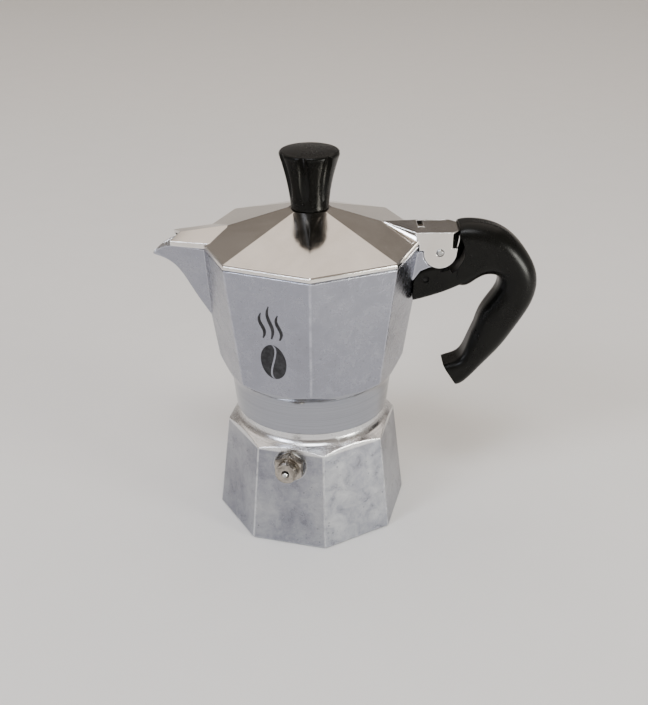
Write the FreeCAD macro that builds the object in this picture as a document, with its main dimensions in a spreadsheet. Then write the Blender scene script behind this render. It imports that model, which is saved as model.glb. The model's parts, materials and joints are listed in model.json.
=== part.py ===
import FreeCAD, Part
import math
import os
from types import SimpleNamespace

import Sketcher

# Stovetop moka pot, in millimetres. Z is up, the origin is the centre of the boiler's base,
# the handle points to +X and the spout to -X.

DIMENSIONS = {
    # boiler: an octagonal casting, turned from its shoulder up
    "boiler_base_radius": 42.86,      # to the corners
    "boiler_shoulder_radius": 37.43,  # to the corners, where the turned shoulder starts
    "boiler_turn": 7.34,              # where the boiler's corners stop when the pot is tight
    "boiler_wall": 3.6,
    "boiler_floor": 3.0,
    "shoulder_rise": 3.4,
    "neck_radius": 31.2,
    "rim_height": 62.0,
    "shoulder_drop": 17.8,            # from the boiler's rim down to the shoulder
    "neck_step_drop": 9.8,            # from the boiler's rim down to the thread's end
    "mouth_radius": 26.2,
    # thread between the boiler and the collector
    "thread_root_radius": 29.4,
    "thread_depth": 0.9,
    "thread_pitch": 2.2,
    "thread_height": 5.5,
    "thread_clearance": 0.3,
    # seal stack on the boiler's rim
    "flange_thickness": 0.8,
    "gasket_thickness": 3.2,
    "gasket_inner_radius": 26.6,
    "plate_thickness": 0.8,
    "plate_radius": 28.0,
    "seal_clearance": 0.3,
    "chamber_radius": 25.0,
    "chamber_depth": 2.0,
    # funnel
    "flange_radius": 29.0,
    "basket_radius": 25.5,
    "basket_depth": 20.0,
    "sheet": 0.6,
    "cone_depth": 7.0,
    "stem_radius": 4.2,
    "stem_clearance": 6.0,
    "sieve_thickness": 0.6,
    "casting_rounding": 1.2,
    "foot_bevel": 0.6,
    "rim_bevel": 0.35,
    # collector: an octagonal casting with a round collar
    "collar_gap": 0.6,                # between the neck's step and the collar
    "collar_radius": 33.3,
    "waist_radius": 34.5,
    "waist_rise": 2.5,                # above the boiler's rim
    "body_bottom_radius": 40.0,       # to the corners
    "body_bottom_rise": 12.0,         # above the boiler's rim
    "body_rim_radius": 47.5,          # to the corners
    "body_height": 53.0,
    "body_wall": 2.9,
    "body_floor_rise": 10.5,          # above the boiler's rim
    # riser column
    "column_base_radius": 8.5,
    "column_top_radius": 6.2,
    "column_drop": 19.0,              # below the collector's rim
    "column_bore_radius": 3.4,
    "column_spigot_radius": 7.0,
    "column_slot_width": 2.6,
    "column_slot_height": 6.0,
    # lid
    "lid_gap": 0.3,
    "lid_band": 1.4,
    "lid_bevel": 0.6,
    "lid_wall": 1.7,
    "ridge_rounding": 0.8,
    "lid_top_radius": 9.0,
    "lid_rise": 14.0,                 # above the collector's rim
    "lip_depth": 1.6,
    "lip_clearance": 0.6,
    # hinge
    "pin_offset": 5.6,                # outside the rim's corner
    "pin_drop": 3.3,                  # below the collector's rim
    "pin_radius": 1.6,
    "pin_clearance": 0.06,
    "ear_radius": 6.7,
    "ear_thickness": 3.2,
    "hinge_width": 16.4,
    "hinge_clearance": 0.3,
    "block_inset": 4.8,               # inside the rim's corner
    "block_tail": 8.2,                # past the hinge pin
    "block_rise": 5.4,                # above the collector's rim
    "block_drop": 2.3,                # below the collector's rim
    "block_wall": 1.9,
    # handle
    "handle_width": 18.0,
    "handle_arm_width": 15.5,
    "handle_tip_width": 14.0,
    "tongue_thickness": 6.0,
    "handle_clearance": 0.12,
    "handle_pin_radius": 1.5,
    # knob
    "knob_height": 24.0,
    "knob_base_radius": 7.8,
    "knob_top_radius": 12.4,
    "flute_count": 7,
    "flute_radius": 2.9,
    "flute_depth": 1.8,
    "screw_radius": 1.9,
    "screw_head_radius": 4.0,
    "insert_radius": 3.4,
    "insert_length": 10.0,
    # safety valve
    "valve_height": 38.3,
    "valve_hex_flats": 11.6,
    "valve_hex_thickness": 3.6,
    "valve_barrel_radius": 4.5,
    "valve_barrel_length": 2.6,
    "valve_shank_radius": 3.9,
    "valve_shank_length": 6.4,
    "valve_bore_radius": 2.7,
    "valve_pin_radius": 1.15,
    "valve_washer_thickness": 0.8,
}

# Spout sections: how far past the rim's corner, then keel height and rim height above the
# body's rim, half width, and wall.
SPOUT = [
    (-7.5, -38.6, 0.0, 12.5, 2.1),
    (-1.5, -28.1, 0.0, 10.0, 1.9),
    (3.5, -19.2, 0.0, 7.9, 1.7),
    (7.8, -12.2, -0.1, 6.1, 1.4),
    (12.2, -8.3, -1.1, 3.9, 1.0),
    (15.1, -6.9, -2.8, 2.1, 0.6),
    (17.7, -5.9, -5.1, 0.5, 0.2),
]

# Handle sections, from the hinge to the tip, in offsets from the hinge pin: the inner edge's
# x and z, the outer edge's x and z, and the width as a share of the way from the tip's width
# to the grip's.
GRIP = [
    (7.6, -15.6, 7.9, 10.4, 0.55),
    (12.9, -15.8, 11.5, 11.2, 0.72),
    (19.0, -12.1, 20.5, 10.3, 0.9),
    (23.6, -11.9, 29.0, 6.3, 1.0),
    (25.7, -14.2, 38.2, -4.1, 1.0),
    (25.2, -18.6, 41.9, -13.6, 1.0),
    (22.0, -24.0, 40.9, -23.0, 0.95),
    (17.9, -32.4, 35.4, -34.0, 0.85),
    (14.9, -41.6, 27.6, -46.0, 0.7),
    (12.2, -48.9, 20.4, -54.0, 0.45),
    (8.6, -51.7, 14.9, -60.4, 0.15),
    (4.2, -53.4, 10.4, -63.0, 0.0),
]

# Arm sections, from the body to inside the grip: offset of x, underside and top from the pin.
ARM = [
    (-10.4, -21.8, -11.4),
    (-7.9, -21.3, -7.7),
    (-4.1, -20.2, -6.1),
    (2.9, -17.8, -5.4),
    (8.5, -15.3, -5.2),
    (14.5, -12.8, -5.5),
]

# Underside of the hinge lug and top of the handle's arm: offsets from the pin.
LUG_UNDERSIDE = [(-13.0, -13.0), (-10.4, -11.5), (-7.9, -7.8), (-4.1, -6.2), (-0.6, -5.9)]

# The lug's tongue inside the handle's fork: offsets from the pin.
TONGUE = [(-13.0, -5.0), (-13.0, -19.0), (-8.5, -18.5), (-0.6, -15.5), (-0.6, -5.0)]


# Spout cover sections: reach past the lid's corner, half width, and the heights of its ridge and
# its eaves above the lid's base.
COVER = [
    (-13.5, 13.9, 6.2, 2.7),
    (10.5, 6.7, 2.9, 1.9),
]

# Fairing in front of the hinge block: how far in front, then half width and height below the
# block's top for the edge of its top, the middle of its side and its foot.
FAIRING = [
    (12.9, (0.3, -2.4), (0.4, -2.15), (0.6, -1.8)),
    (-0.5, (7.9, 0.0), (8.7, 1.9), (10.2, 4.0)),
]


class Size:
    """A number taken from the sheet, with the expression that gives it."""

    def __init__(self, value, text):
        self.value = float(value)
        self.text = text

    def join(self, other, sign, value):
        return Size(value, "(%s %s %s)" % (self.text, sign, text_of(other)))

    def __add__(self, other):
        return self.join(other, "+", self.value + value_of(other))

    def __sub__(self, other):
        return self.join(other, "-", self.value - value_of(other))

    def __mul__(self, other):
        return self.join(other, "*", self.value * value_of(other))

    def __truediv__(self, other):
        return self.join(other, "/", self.value / value_of(other))

    def __radd__(self, other):
        return self + other

    def __rmul__(self, other):
        return self * other

    def __rsub__(self, other):
        return self * -1.0 + other

    def __neg__(self):
        return self * -1.0


def value_of(item):
    return item.value if isinstance(item, Size) else float(item)


def hypotenuse(a, b):
    return Size(math.hypot(a.value, b.value), "sqrt(%s ^ 2 + %s ^ 2)" % (a.text, b.text))


def text_of(item):
    return item.text if isinstance(item, Size) else "%.6f" % item


doc = FreeCAD.newDocument("moka_pot")
sheet = doc.addObject("Spreadsheet::Sheet", "dims")
for row, (name, number) in enumerate(DIMENSIONS.items(), start=1):
    sheet.set("A%d" % row, name)
    sheet.set("B%d" % row, str(number))
    sheet.setAlias("B%d" % row, name)
doc.recompute()
d = SimpleNamespace(**{name: Size(sheet.get(name), "dims." + name) for name in DIMENSIONS})

# Heights and reaches that follow from the sizes.
d.boiler_shoulder_height = d.rim_height - d.shoulder_drop
d.neck_step_height = d.rim_height - d.neck_step_drop
d.collar_bottom = d.neck_step_height + d.collar_gap
d.waist_height = d.rim_height + d.waist_rise
d.body_bottom_height = d.rim_height + d.body_bottom_rise
d.body_floor_height = d.rim_height + d.body_floor_rise
d.body_rim_height = d.body_bottom_height + d.body_height
d.column_top_height = d.body_rim_height - d.column_drop
d.lid_top_height = d.body_rim_height + d.lid_rise
d.pin_reach = d.body_rim_radius + d.pin_offset
d.pin_height = d.body_rim_height - d.pin_drop
d.block_front = d.body_rim_radius - d.block_inset
d.block_end = d.pin_reach + d.block_tail
d.block_top = d.body_rim_height + d.block_rise
d.block_bottom = d.body_rim_height - d.block_drop

FLAT = math.cos(math.pi / 8)  # an octagon's distance across flats over that across corners
CUT_REACH = 70.0              # far enough out to clear every wall
nodes = []


# ---------------------------------------------------------------- helpers

def new_body(label):
    body = doc.addObject("PartDesign::Body", label)
    body.Label = label
    nodes.append(body)
    return body


def bind(item, prop, size):
    """Sets a property to a size, through an expression where the size comes from the sheet."""
    if isinstance(size, Size):
        item.setExpression(prop, size.text)
    else:
        setattr(item, prop, size)


def attach(item, body, role):
    """Attaches a sketch or a primitive to one of the body's own planes."""
    plane = next(part for part in body.Origin.OriginFeatures if part.Role == role)
    item.AttachmentSupport = [(plane, "")]
    item.MapMode = "FlatFace"


def sketch_on(body, role, name, shift=(0.0, 0.0, 0.0), tilt=0.0):
    """A sketch on one of the body's own planes, shifted and tilted about its own x axis."""
    sketch = body.newObject("Sketcher::SketchObject", name)
    attach(sketch, body, role)
    turn = FreeCAD.Rotation(FreeCAD.Vector(1, 0, 0), tilt)
    sketch.AttachmentOffset = FreeCAD.Placement(FreeCAD.Vector(*map(value_of, shift)), turn)
    for axis, size in zip("xyz", shift):
        if isinstance(size, Size):
            sketch.setExpression("AttachmentOffset.Base." + axis, size.text)
    return sketch


def place(sketch, geometry, position, x, y):
    """Holds a sketch point at x, y."""
    for kind, size in (("DistanceX", x), ("DistanceY", y)):
        number = sketch.addConstraint(Sketcher.Constraint(kind, geometry, position, value_of(size)))
        if isinstance(size, Size):
            label = "%s%d" % (kind[-1].lower(), number)
            sketch.renameConstraint(number, label)
            sketch.setExpression("Constraints." + label, size.text)


def vector(point):
    return FreeCAD.Vector(value_of(point[0]), value_of(point[1]), 0)


def outline(sketch, points):
    """Draws a closed outline. A point is (x, y), or (x, y, "via") for the middle of an arc."""
    corners = [i for i, point in enumerate(points) if len(point) == 2]
    for here, after in zip(corners, corners[1:] + [corners[0] + len(points)]):
        start, end = points[here], points[after % len(points)]
        middle = points[here + 1] if after - here == 2 else None
        if middle:
            edge = Part.Arc(vector(start), vector(middle), vector(end))
        else:
            edge = Part.LineSegment(vector(start), vector(end))
        geometry = sketch.addGeometry(edge)
        forward = sketch.getPoint(geometry, 1).distanceToPoint(vector(start)) < 1e-6
        place(sketch, geometry, 1 if forward else 2, *start)
        place(sketch, geometry, 2 if forward else 1, *end)
        if middle:
            mark = sketch.addGeometry(Part.Point(vector(middle)), True)
            place(sketch, mark, 1, *middle[:2])
            sketch.addConstraint(Sketcher.Constraint("PointOnObject", mark, 1, geometry))
    return sketch


def circle(sketch, x, y, radius):
    geometry = sketch.addGeometry(Part.Circle(vector((x, y)), FreeCAD.Vector(0, 0, 1), value_of(radius)))
    place(sketch, geometry, 3, x, y)
    number = sketch.addConstraint(Sketcher.Constraint("Radius", geometry, value_of(radius)))
    if isinstance(radius, Size):
        sketch.renameConstraint(number, "radius%d" % number)
        sketch.setExpression("Constraints.radius%d" % number, radius.text)
    return sketch


def polygon(sides, radius, turn=0.0):
    """Corners of a regular polygon, the first one at an angle of turn from +X."""
    angles = [math.radians(turn + 360.0 * i / sides) for i in range(sides)]
    return [(radius * math.cos(angle), radius * math.sin(angle)) for angle in angles]


def turned(body, kind, name, points, role="XZ_Plane", axis="V_Axis"):
    """A Revolution or Groove of an outline about the sketch's axis."""
    sketch = outline(sketch_on(body, role, name + "_profile"), points)
    feature = body.newObject("PartDesign::" + kind, name)
    feature.Profile = (sketch, [""])
    feature.ReferenceAxis = (sketch, [axis])
    feature.Angle = 360.0
    return feature


def extruded(body, kind, name, sketch, length, middle=False, reverse=False):
    """A Pad or Pocket of a finished sketch."""
    feature = body.newObject("PartDesign::" + kind, name)
    feature.Profile = (sketch, [""])
    bind(feature, "Length", length)
    feature.Midplane = middle
    feature.Reversed = reverse
    return feature


def lofted(body, kind, name, sketches, ruled=True):
    feature = body.newObject("PartDesign::" + kind, name)
    feature.Profile = (sketches[0], [""])
    feature.Sections = [(sketch, [""]) for sketch in sketches[1:]]
    feature.Ruled = ruled
    return feature


def octagon(radius, turn, rounding):
    """An octagon with rounded corners, the first one at an angle of turn from +X."""
    points = []
    for i in range(8):
        angle = math.radians(turn + 45.0 * i)
        x, y = radius * math.cos(angle), radius * math.sin(angle)
        before, after = ((x + rounding * (math.tan(math.pi / 8) * math.cos(side)),
                          y + rounding * (math.tan(math.pi / 8) * math.sin(side)))
                         for side in (angle - math.pi * 0.625, angle + math.pi * 0.625))
        inset = radius - rounding * (1.0 / FLAT - 1.0)
        points += [before, (inset * math.cos(angle), inset * math.sin(angle), "via"), after]
    return points


def octagon_loft(body, kind, name, levels, turn=0.0, rounding=None):
    """A loft through level octagons, each given as (corner radius, height)."""
    sketches = []
    for i, (radius, height) in enumerate(levels):
        sketch = sketch_on(body, "XY_Plane", "%s_level%d" % (name, i), (0.0, 0.0, height))
        corners = octagon(radius, turn, rounding) if rounding else polygon(8, radius, turn)
        sketches.append(outline(sketch, corners))
    return lofted(body, kind, name, sketches)


def helix(body, kind, name, points):
    """A thread ridge or groove that starts with this outline."""
    sketch = outline(sketch_on(body, "XZ_Plane", name + "_profile"), points)
    doc.recompute()
    feature = body.newObject("PartDesign::" + kind, name)
    feature.Profile = (sketch, [""])
    feature.ReferenceAxis = (sketch, ["V_Axis"])
    feature.Mode = "pitch-height-angle"
    bind(feature, "Pitch", d.thread_pitch)
    bind(feature, "Height", d.thread_height)
    return feature


def polar(body, name, features, axis_sketch, count):
    """Repeats features around an axis."""
    pattern = body.newObject("PartDesign::PolarPattern", name)
    pattern.Originals = features
    pattern.Axis = axis_sketch
    pattern.Angle = 360.0
    bind(pattern, "Occurrences", count)
    body.Tip = pattern
    return pattern


# ---------------------------------------------------------------- shared places

crest_radius = d.thread_root_radius + d.thread_depth
bore_radius = crest_radius + d.thread_clearance
gasket_bottom = d.rim_height + d.flange_thickness
gasket_top = gasket_bottom + d.gasket_thickness
ceiling = gasket_top + d.plate_thickness
gasket_radius = bore_radius - d.seal_clearance
lid_bottom = d.body_rim_height + d.lid_gap
hinge_half = d.hinge_width / 2
cheek_inside = hinge_half - d.ear_thickness

valve_angle = math.radians(-90.0 + d.boiler_turn.value - 22.5)
valve_axis = FreeCAD.Vector(math.cos(valve_angle), math.sin(valve_angle), 0)


def boiler_radius(height):
    """The boiler octagon's corner radius at a height."""
    taper = (d.boiler_base_radius - d.boiler_shoulder_radius) / d.boiler_shoulder_height
    return d.boiler_base_radius - taper * height


def body_radius(height):
    """The collector octagon's corner radius at a height."""
    taper = (d.body_rim_radius - d.body_bottom_radius) / (d.body_rim_height - d.body_bottom_height)
    return d.body_rim_radius - taper * (d.body_rim_height - height)


valve_seat = boiler_radius(d.valve_height + d.valve_hex_flats / 2) * FLAT


# ---------------------------------------------------------------- boiler and valve

def make_boiler():
    body = new_body("boiler")
    octagon_loft(body, "AdditiveLoft", "casting", [
        (d.boiler_base_radius - d.foot_bevel, 0.0),
        (boiler_radius(d.foot_bevel), d.foot_bevel),
        (boiler_radius(d.rim_height), d.rim_height)],
        90.0 + d.boiler_turn.value, d.casting_rounding)
    drill = body.newObject("PartDesign::SubtractiveCylinder", "valve_hole")
    spot = body.newObject("PartDesign::SubtractiveCylinder", "valve_spot_face")
    across = FreeCAD.Rotation(FreeCAD.Vector(0, 0, 1), valve_axis)
    for feature, start, radius in ((drill, valve_seat - 9.0, d.valve_shank_radius),
                                   (spot, valve_seat, d.valve_hex_flats * 0.6)):
        attach(feature, body, "XY_Plane")
        feature.AttachmentOffset = FreeCAD.Placement(FreeCAD.Vector(), across)
        bind(feature, "Radius", radius)
        feature.Height = 12.0
        feature.setExpression("AttachmentOffset.Base.x", (start * valve_axis.x).text)
        feature.setExpression("AttachmentOffset.Base.y", (start * valve_axis.y).text)
        feature.setExpression("AttachmentOffset.Base.z", d.valve_height.text)
    corner = d.boiler_shoulder_radius
    slope = d.shoulder_rise / (corner - d.neck_radius)
    turned(body, "Groove", "shoulder_turning", [
        (d.thread_root_radius, d.rim_height + 1.0),
        (d.thread_root_radius, d.neck_step_height),
        (d.neck_radius - 0.5, d.neck_step_height),
        (d.neck_radius, d.neck_step_height - 0.5),
        (d.neck_radius, d.boiler_shoulder_height + d.shoulder_rise + 1.2),
        (d.neck_radius + 0.5, d.boiler_shoulder_height + d.shoulder_rise + 0.25, "via"),
        (d.neck_radius + 2.0, d.boiler_shoulder_height + d.shoulder_rise - slope * 2.0),
        (corner + 5.0, d.boiler_shoulder_height - slope * 5.0),
        (CUT_REACH, d.boiler_shoulder_height),
        (CUT_REACH, d.rim_height + 1.0),
    ])
    inner_base = d.boiler_base_radius * FLAT - d.boiler_wall
    inner_top = d.boiler_shoulder_radius * FLAT - d.boiler_wall
    turned(body, "Groove", "hollow", [
        (0.0, d.boiler_floor),
        (inner_base - 4.0, d.boiler_floor),
        (inner_base - 1.2, d.boiler_floor + 1.2, "via"),
        (inner_base, d.boiler_floor + 4.0),
        (inner_top, d.boiler_shoulder_height - 3.0),
        (d.mouth_radius, d.boiler_shoulder_height + 3.5),
        (d.mouth_radius, d.rim_height + 1.0),
        (0.0, d.rim_height + 1.0),
    ])
    z = d.neck_step_height + 1.4
    root = d.thread_root_radius
    helix(body, "AdditiveHelix", "thread", [
        (root - 0.3, z), (crest_radius, z + 0.85), (crest_radius, z + 1.05), (root - 0.3, z + 1.9)])
    return body


def place_valve_piece(body):
    """Stands a piece made along +Z from the seat onto the boiler's face."""
    across = FreeCAD.Rotation(FreeCAD.Vector(0, 0, 1), valve_axis)
    origin = FreeCAD.Vector(valve_seat.value * valve_axis.x, valve_seat.value * valve_axis.y, 0)
    body.Placement = FreeCAD.Placement(origin, across)
    body.setExpression("Placement.Base.x", (valve_seat * valve_axis.x).text)
    body.setExpression("Placement.Base.y", (valve_seat * valve_axis.y).text)
    body.setExpression("Placement.Base.z", d.valve_height.text)


hex_bottom = d.valve_washer_thickness
hex_top = hex_bottom + d.valve_hex_thickness
barrel_top = hex_top + d.valve_barrel_length
cap_thickness = 1.0
spring_wire = 0.3
poppet_top = -d.valve_shank_length + 2.6


def make_valve_body():
    body = new_body("valve_body")
    base = sketch_on(body, "XY_Plane", "hexagon", (0.0, 0.0, hex_bottom))
    outline(base, polygon(6, d.valve_hex_flats / math.sqrt(3), 15.0))
    extruded(body, "Pad", "hex", base, d.valve_hex_thickness)
    turned(body, "Groove", "hex_chamfer", [
        (d.valve_hex_flats / 2 - 0.2, hex_top + 1.0),
        (d.valve_hex_flats / 2 - 0.2, hex_top),
        (d.valve_hex_flats / 2 + 1.4, hex_top - 0.9),
        (d.valve_hex_flats / 2 + 1.4, hex_top + 1.0),
    ])
    turned(body, "Groove", "flange_groove", [
        (d.valve_hex_flats / 2 - 0.1, hex_bottom + 1.0),
        (CUT_REACH, hex_bottom + 1.0),
        (CUT_REACH, hex_bottom + 1.6),
        (d.valve_hex_flats / 2 - 0.1, hex_bottom + 1.6),
    ])
    turned(body, "Revolution", "barrel", [
        (0.0, -d.valve_shank_length),
        (d.valve_shank_radius, -d.valve_shank_length),
        (d.valve_shank_radius, hex_bottom),
        (d.valve_barrel_radius, hex_bottom),
        (d.valve_barrel_radius, barrel_top),
        (0.0, barrel_top),
    ])
    turned(body, "Groove", "bore", [
        (0.0, -d.valve_shank_length - 1.0),
        (1.6, -d.valve_shank_length - 1.0),
        (1.6, -d.valve_shank_length + 1.2),
        (d.valve_bore_radius, -d.valve_shank_length + 1.6),
        (d.valve_bore_radius, barrel_top + 1.0),
        (0.0, barrel_top + 1.0),
    ])
    place_valve_piece(body)


def make_ring(label, inner, outer, bottom, top):
    """A plain flat ring about Z."""
    body = new_body(label)
    turned(body, "Revolution", "ring", [(inner, bottom), (outer, bottom), (outer, top), (inner, top)])
    return body


def make_valve_pin():
    body = new_body("valve_pin")
    rod = d.valve_pin_radius
    seat = -d.valve_shank_length + 1.75
    turned(body, "Revolution", "plunger", [
        (0.0, seat),
        (d.valve_bore_radius - 0.25, seat),
        (d.valve_bore_radius - 0.25, seat + 0.9),
        (rod, seat + 0.9),
        (rod, barrel_top + cap_thickness + 0.9),
        (rod - 0.3, barrel_top + cap_thickness + 1.3),
        (0.0, barrel_top + cap_thickness + 1.3),
    ])
    place_valve_piece(body)


def make_valve_spring():
    body = new_body("valve_spring")
    start = -d.valve_shank_length + 3.0
    sketch = sketch_on(body, "XZ_Plane", "wire")
    circle(sketch, d.valve_bore_radius - 0.6, start, spring_wire)
    doc.recompute()
    coil = body.newObject("PartDesign::AdditiveHelix", "coil")
    coil.Profile = (sketch, [""])
    coil.ReferenceAxis = (sketch, ["V_Axis"])
    coil.Mode = "pitch-height-angle"
    coil.Pitch = 1.5
    bind(coil, "Height", barrel_top - start - 0.4)
    place_valve_piece(body)


# ---------------------------------------------------------------- funnel, gasket and filter

def make_funnel():
    """The pressed basket, and the tube that is rolled into its neck."""
    body = new_body("funnel")
    rim = d.rim_height
    outer = d.basket_radius
    floor = rim - d.basket_depth
    cone_end = floor - d.cone_depth
    neck_end = cone_end - 3.0
    turned(body, "Revolution", "shell", [
        (outer - d.sheet, rim + d.flange_thickness),
        (d.flange_radius, rim + d.flange_thickness),
        (d.flange_radius, rim),
        (outer, rim),
        (outer, floor),
        (d.stem_radius + 2.0, cone_end),
        (d.stem_radius, neck_end),
        (d.stem_radius - d.sheet, neck_end),
        (d.stem_radius + 2.0 - d.sheet, cone_end + 0.3),
        (outer - d.sheet - 2.0, floor - 0.3),
        (outer - d.sheet - 2.0, floor + d.sheet),
        (outer - d.sheet, floor + d.sheet),
    ])
    make_ring("funnel_tube", d.stem_radius - d.sheet, d.stem_radius,
              d.boiler_floor + d.stem_clearance, neck_end)


def drill_rings(body, first_radius, ring_step, rings, hole_radius, height, thickness):
    """Drills rings of small holes through a plate, six more in each ring."""
    for ring in range(rings):
        sketch = sketch_on(body, "XY_Plane", "hole%d" % ring, (0.0, 0.0, height - 1.0))
        circle(sketch, first_radius + ring * ring_step, 0.0, hole_radius)
        pocket = extruded(body, "Pocket", "drill%d" % ring, sketch, thickness + 2.0, reverse=True)
        polar(body, "ring%d" % ring, [pocket], (sketch, ["N_Axis"]), 6 * (ring + 1))


def make_sieve():
    body = new_body("funnel_sieve")
    floor = d.rim_height - d.basket_depth + d.sheet
    radius = d.basket_radius - d.sheet - 0.05
    sketch = circle(sketch_on(body, "XY_Plane", "disc", (0.0, 0.0, floor)), 0.0, 0.0, radius)
    extruded(body, "Pad", "plate", sketch, d.sieve_thickness)
    drill_rings(body, 3.6, 3.6, 6, 0.65, floor, d.sieve_thickness)


def make_filter_plate():
    body = new_body("filter_plate")
    turned(body, "Revolution", "plate", [
        (0.0, gasket_top),
        (d.plate_radius, gasket_top),
        (d.plate_radius, ceiling),
        (0.0, ceiling),
    ])
    drill_rings(body, 3.6, 3.6, 6, 0.65, gasket_top, d.plate_thickness)


# ---------------------------------------------------------------- collector

def make_collector():
    body = new_body("collector")
    bottom = d.collar_bottom
    rim = d.body_rim_radius
    octagon_loft(body, "AdditiveLoft", "casting", [
        (body_radius(bottom), bottom), (rim, d.body_rim_height - d.rim_bevel),
        (rim - d.rim_bevel, d.body_rim_height)], rounding=d.casting_rounding)
    lofted(body, "AdditiveLoft", "spout", [
        spout_section(body, "spout%d" % i, row) for i, row in enumerate(SPOUT)], ruled=False)
    add_lug(body)
    turned(body, "Groove", "collar_turning", [
        (d.collar_radius, bottom - 1.0),
        (d.collar_radius, bottom),
        (d.waist_radius, d.waist_height),
        (d.waist_radius + 1.7, d.waist_height + 5.8, "via"),
        (d.body_bottom_radius + 0.3, d.body_bottom_height + 0.1),
        (CUT_REACH, d.body_bottom_height + 0.1),
        (CUT_REACH, bottom - 1.0),
    ])
    floor = d.body_floor_height
    wall = d.body_wall / FLAT
    octagon_loft(body, "SubtractiveLoft", "inside", [
        (body_radius(floor) - wall - 4.5, floor),
        (body_radius(floor + 4.0) - wall - 0.5, floor + 4.0),
        (body_radius(d.body_rim_height + 1.0) - wall, d.body_rim_height + 1.0),
    ])
    turned(body, "Groove", "underside", [
        (0.0, bottom - 1.0),
        (bore_radius, bottom - 1.0),
        (bore_radius, gasket_top),
        (d.plate_radius + d.seal_clearance, gasket_top),
        (d.plate_radius + d.seal_clearance, ceiling),
        (d.chamber_radius, ceiling),
        (d.chamber_radius, ceiling + d.chamber_depth),
        (d.column_spigot_radius, ceiling + d.chamber_depth),
        (d.column_spigot_radius, floor + 1.0),
        (0.0, floor + 1.0),
    ])
    lofted(body, "SubtractiveLoft", "pouring_channel", [
        channel_section(body, "channel%d" % i, row) for i, row in enumerate(SPOUT)], ruled=False)
    z = bottom + 1.2
    helix(body, "SubtractiveHelix", "thread", [
        (bore_radius - 0.3, z), (bore_radius + 0.7, z + 0.85),
        (bore_radius + 0.7, z + 1.05), (bore_radius - 0.3, z + 1.9)])
    bore_hinge(body)
    return body


def spout_section(body, name, row):
    """One V section of the spout, with a rounded keel."""
    reach, keel, rim, half, _ = row
    sketch = sketch_on(body, "YZ_Plane", name, (0.0, 0.0, -(d.body_rim_radius + reach)))
    low = d.body_rim_height + keel
    top = d.body_rim_height + rim
    round_off = 0.13 * half
    return outline(sketch, [
        (-half, top), (-round_off, low + 0.7 * round_off), (0.0, low, "via"),
        (round_off, low + 0.7 * round_off), (half, top)])


def channel_section(body, name, row):
    """The open channel inside the spout, one wall in from its outside."""
    reach, keel, rim, half, wall = row
    inward = 3.0 if reach < -5.0 else 0.0
    sketch = sketch_on(body, "YZ_Plane", name, (0.0, 0.0, -(d.body_rim_radius + reach - inward)))
    low = d.body_rim_height + keel + 1.6 * wall
    inside = half - wall
    open_top = d.body_rim_height + rim + 2.0
    spread = inside * (1.0 + 2.0 / (rim - keel))
    round_off = 0.13 * inside
    return outline(sketch, [
        (-spread, open_top), (-round_off, low + 0.7 * round_off), (0.0, low, "via"),
        (round_off, low + 0.7 * round_off), (spread, open_top)])


def add_lug(body):
    """The hinge lug: flanks flush with the lid's ears, a knuckle between them and a tongue."""
    x, z = d.pin_reach, d.pin_height
    flank = outline(sketch_on(body, "XZ_Plane", "lug_flank"), lug_outline(0.0))
    extruded(body, "Pad", "lug", flank, d.hinge_width, middle=True)
    gap = d.ear_radius + d.hinge_clearance
    for side, reverse in (("near", False), ("far", True)):
        shift = cheek_inside - d.hinge_clearance
        cut = sketch_on(body, "XZ_Plane", side + "_ear_seat",
                        (0.0, 0.0, shift if side == "near" else -shift))
        circle(cut, x, z, gap)
        extruded(body, "Pocket", side + "_ear_cut", cut, d.hinge_width, reverse=not reverse)
    knuckle_width = (cheek_inside - d.hinge_clearance) * 2.0
    knuckle = circle(sketch_on(body, "XZ_Plane", "knuckle_disc"), x, z, d.ear_radius - 0.5)
    extruded(body, "Pad", "knuckle", knuckle, knuckle_width, middle=True)
    tongue = outline(sketch_on(body, "XZ_Plane", "tongue_outline"), [
        (x + across, z + up) for across, up in TONGUE])
    extruded(body, "Pad", "tongue", tongue, d.tongue_thickness, middle=True)


def lug_outline(drop):
    """The lug's side, with its underside lowered by a clearance."""
    x, z = d.pin_reach, d.pin_height
    underside = [(x + across, z + up - drop) for across, up in LUG_UNDERSIDE]
    return [(underside[0][0], z + 0.5), *underside, (underside[-1][0], z + 0.5)]


def bore_hinge(body):
    """Holes for the hinge pin and the handle's pin."""
    pin = sketch_on(body, "XZ_Plane", "pin_hole")
    circle(pin, d.pin_reach, d.pin_height, d.pin_radius + d.pin_clearance)
    extruded(body, "Pocket", "pin_bore", pin, d.hinge_width * 2, middle=True)
    cross = sketch_on(body, "XZ_Plane", "handle_pin_hole")
    circle(cross, handle_pin_x, handle_pin_z, d.handle_pin_radius)
    extruded(body, "Pocket", "handle_pin_bore", cross, d.hinge_width * 2, middle=True)


handle_pin_x = d.pin_reach - 5.5
handle_pin_z = d.pin_height - 11.8


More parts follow.
